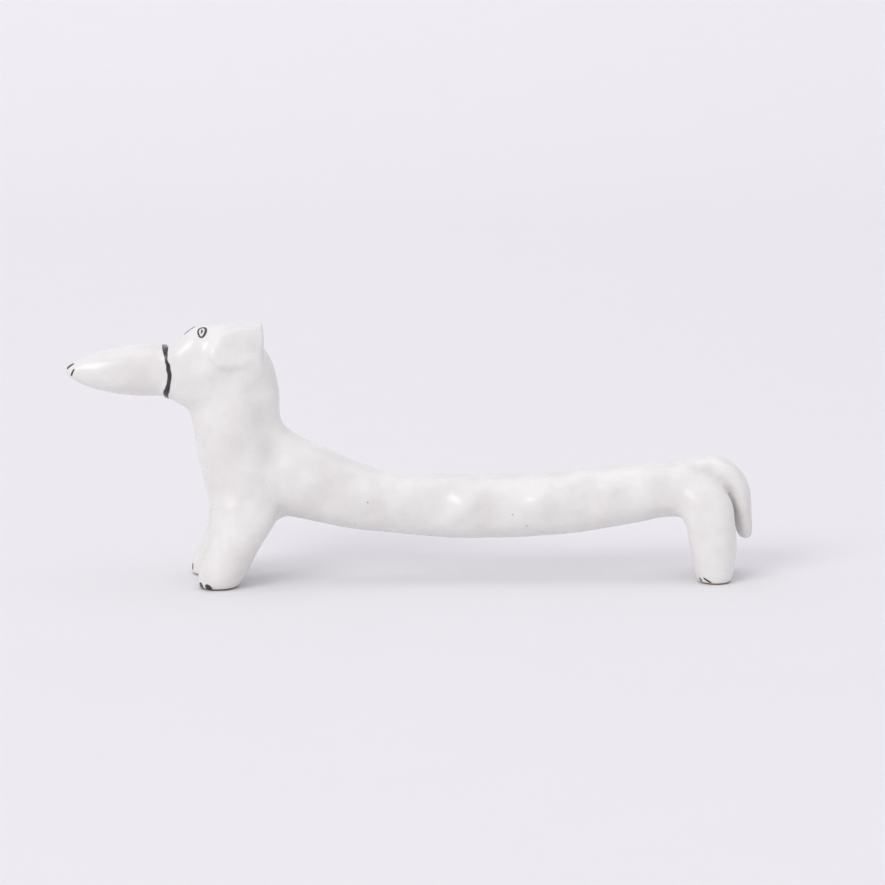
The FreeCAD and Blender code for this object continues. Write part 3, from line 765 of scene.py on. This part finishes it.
def finish(name, tree, colors, depth, settings):
    """A material that takes its colour, roughness and relief from one effect. The relief's depth is in mm."""
    made = bpy.data.materials.new(name)
    made.use_nodes = True
    nodes, links = made.node_tree.nodes, made.node_tree.links
    shader = nodes["Principled BSDF"]
    for word, amount in settings.items():
        shader.inputs[word].default_value = amount
    where = nodes.new("ShaderNodeTexCoord")
    in_mm = nodes.new("ShaderNodeVectorMath")
    in_mm.operation = "SCALE"
    in_mm.inputs["Scale"].default_value = 1 / MM
    links.new(where.outputs["Object"], in_mm.inputs[0])
    group = nodes.new("ShaderNodeGroup")
    group.node_tree = tree
    links.new(in_mm.outputs[0], group.inputs["Place"])
    for word, color in colors.items():
        group.inputs[word].default_value = color + (1,)
    links.new(group.outputs["Color"], shader.inputs["Base Color"])
    links.new(group.outputs["Roughness"], shader.inputs["Roughness"])
    bump = nodes.new("ShaderNodeBump")
    bump.inputs["Strength"].default_value = 0.7
    bump.inputs["Distance"].default_value = depth * MM
    links.new(group.outputs["Height"], bump.inputs["Height"])
    links.new(bump.outputs["Normal"], shader.inputs["Normal"])
    return made


def finishes():
    glaze = finish("hand_glazed_white", glaze_effect(),
                   {"Tint": (0.825, 0.812, 0.794), "Shade": (0.75, 0.728, 0.71)}, 0.10,
                   {"IOR": 1.5, "Coat Weight": 0.25, "Coat Roughness": 0.2, "Coat IOR": 1.5,
                    "Specular IOR Level": 0.42})
    brush = finish("brushed_black", brush_effect(),
                   {"Dark": (0.010, 0.010, 0.014), "Thin": (0.04, 0.04, 0.047)}, 0.04,
                   {"Coat Weight": 0.5, "Coat Roughness": 0.15})
    clay = finish("bare_red_clay", clay_effect(),
                  {"Light": (0.46, 0.29, 0.20), "Deep": (0.32, 0.18, 0.12)}, 0.10,
                  {"Specular IOR Level": 0.3})
    return {"white_glaze": glaze, "black_brushwork": brush, "bare_clay": clay}


def hand_over(pieces, slot, made):
    for node, obj in pieces.items():
        obj.data.materials.clear()
        obj.data.materials.append(made[slot])
        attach(obj, "root")
        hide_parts(node)


# ---------------------------------------------------------------- stage, light and camera

def sweep():
    """A pale sheet that lies flat under the dog and curves up behind it."""
    bpy.ops.mesh.primitive_plane_add(size=1, location=(0, 0, 0))
    floor = bpy.context.object
    floor.name = "studio_sweep"
    floor.scale = (5.0, 3.2, 1)
    settle(floor)
    pick(floor, lambda place: place.y > 0)
    bpy.ops.mesh.extrude_region_move(TRANSFORM_OT_translate={"value": (0, 0.2, 1.6)})
    done()
    pick(floor, lambda place: place.y > 0 and place.z < 0.1)
    bpy.ops.mesh.bevel(offset=0.8, segments=24, affect="EDGES")
    done()
    bpy.ops.object.shade_smooth()
    tree, start, end = effect("sweep_effect", ("Near", "Far"))
    fibre = noise(tree, start.outputs["Place"], 0.05, 3.0)
    tree.links.new(blend(tree, fibre, start.outputs["Near"], start.outputs["Far"]), end.inputs["Color"])
    tree.links.new(spread(tree, fibre, 0.3, 0.7, 0.8, 0.9), end.inputs["Roughness"])
    tree.links.new(fibre, end.inputs["Height"])
    floor.data.materials.append(finish("pale_sheet", tree,
                                       {"Near": (0.80, 0.793, 0.812), "Far": (0.81, 0.803, 0.822)},
                                       0.02, {"Specular IOR Level": 0.2}))


def lamp(name, place, aim, size, power, color):
    bpy.ops.object.light_add(type="AREA", location=place)
    obj = bpy.context.object
    obj.name = name
    obj.data.shape = "RECTANGLE"
    obj.data.size, obj.data.size_y = size
    obj.data.energy = power
    obj.data.color = color
    obj.rotation_euler = (Vector(aim) - Vector(place)).to_track_quat("-Z", "Y").to_euler()


def studio():
    scene = bpy.context.scene
    scene.world = bpy.data.worlds.new("soft_room")
    scene.world.use_nodes = True
    sky = scene.world.node_tree.nodes["Background"]
    sky.inputs["Color"].default_value = (0.965, 0.955, 1.0, 1)
    sky.inputs["Strength"].default_value = 0.75
    lamp("key_softbox", (-1.9, -2.15, 1.9), (0.0, 0, 0.02), (1.8, 1.5), 38.0, (1.0, 0.99, 0.98))
    lamp("top_softbox", (0.1, 0.1, 2.4), (0.0, 0, 0.0), (2.2, 2.2), 9.5, (1.0, 0.99, 1.0))
    lamp("wall_softbox", (0.0, 1.0, 1.9), (0.0, 2.4, 1.1), (3.0, 0.8), 5.0, (0.99, 0.99, 1.0))
    scene.view_settings.view_transform = "Standard"
    target = Vector((6.8, 0, 30.4)) * MM
    distance = 0.6
    azimuth, elevation = math.radians(-2.0), math.radians(10.25)
    away = Vector((math.sin(azimuth) * math.cos(elevation), -math.cos(azimuth) * math.cos(elevation),
                   math.sin(elevation)))
    bpy.ops.object.camera_add(location=target + away * distance,
                              rotation=(-away).to_track_quat("-Z", "Y").to_euler())
    camera = bpy.context.object
    camera.name = "front_camera"
    camera.data.lens = 111.4
    camera.data.clip_start = 0.01
    scene.camera = camera


# ---------------------------------------------------------------- put together

def build():
    bpy.ops.object.select_all(action="DESELECT")
    clay = clay_form()
    only(clay)
    bpy.ops.object.shade_smooth()
    skin = copy_of(clay, "whole_skin")
    lumps = cut_up(clay)
    for obj in lumps.values():
        keep_shading(obj, skin)
    marks = painted_marks(skin)
    only(skin)
    bpy.ops.object.delete()
    made = finishes()
    soles = {node: obj for node, obj in lumps.items() if node.endswith("_sole")}
    glazed = {node: obj for node, obj in lumps.items() if node not in soles}
    hand_over(glazed, "white_glaze", made)
    hand_over(soles, "bare_clay", made)
    hand_over(marks, "black_brushwork", made)


build()
sweep()
studio()
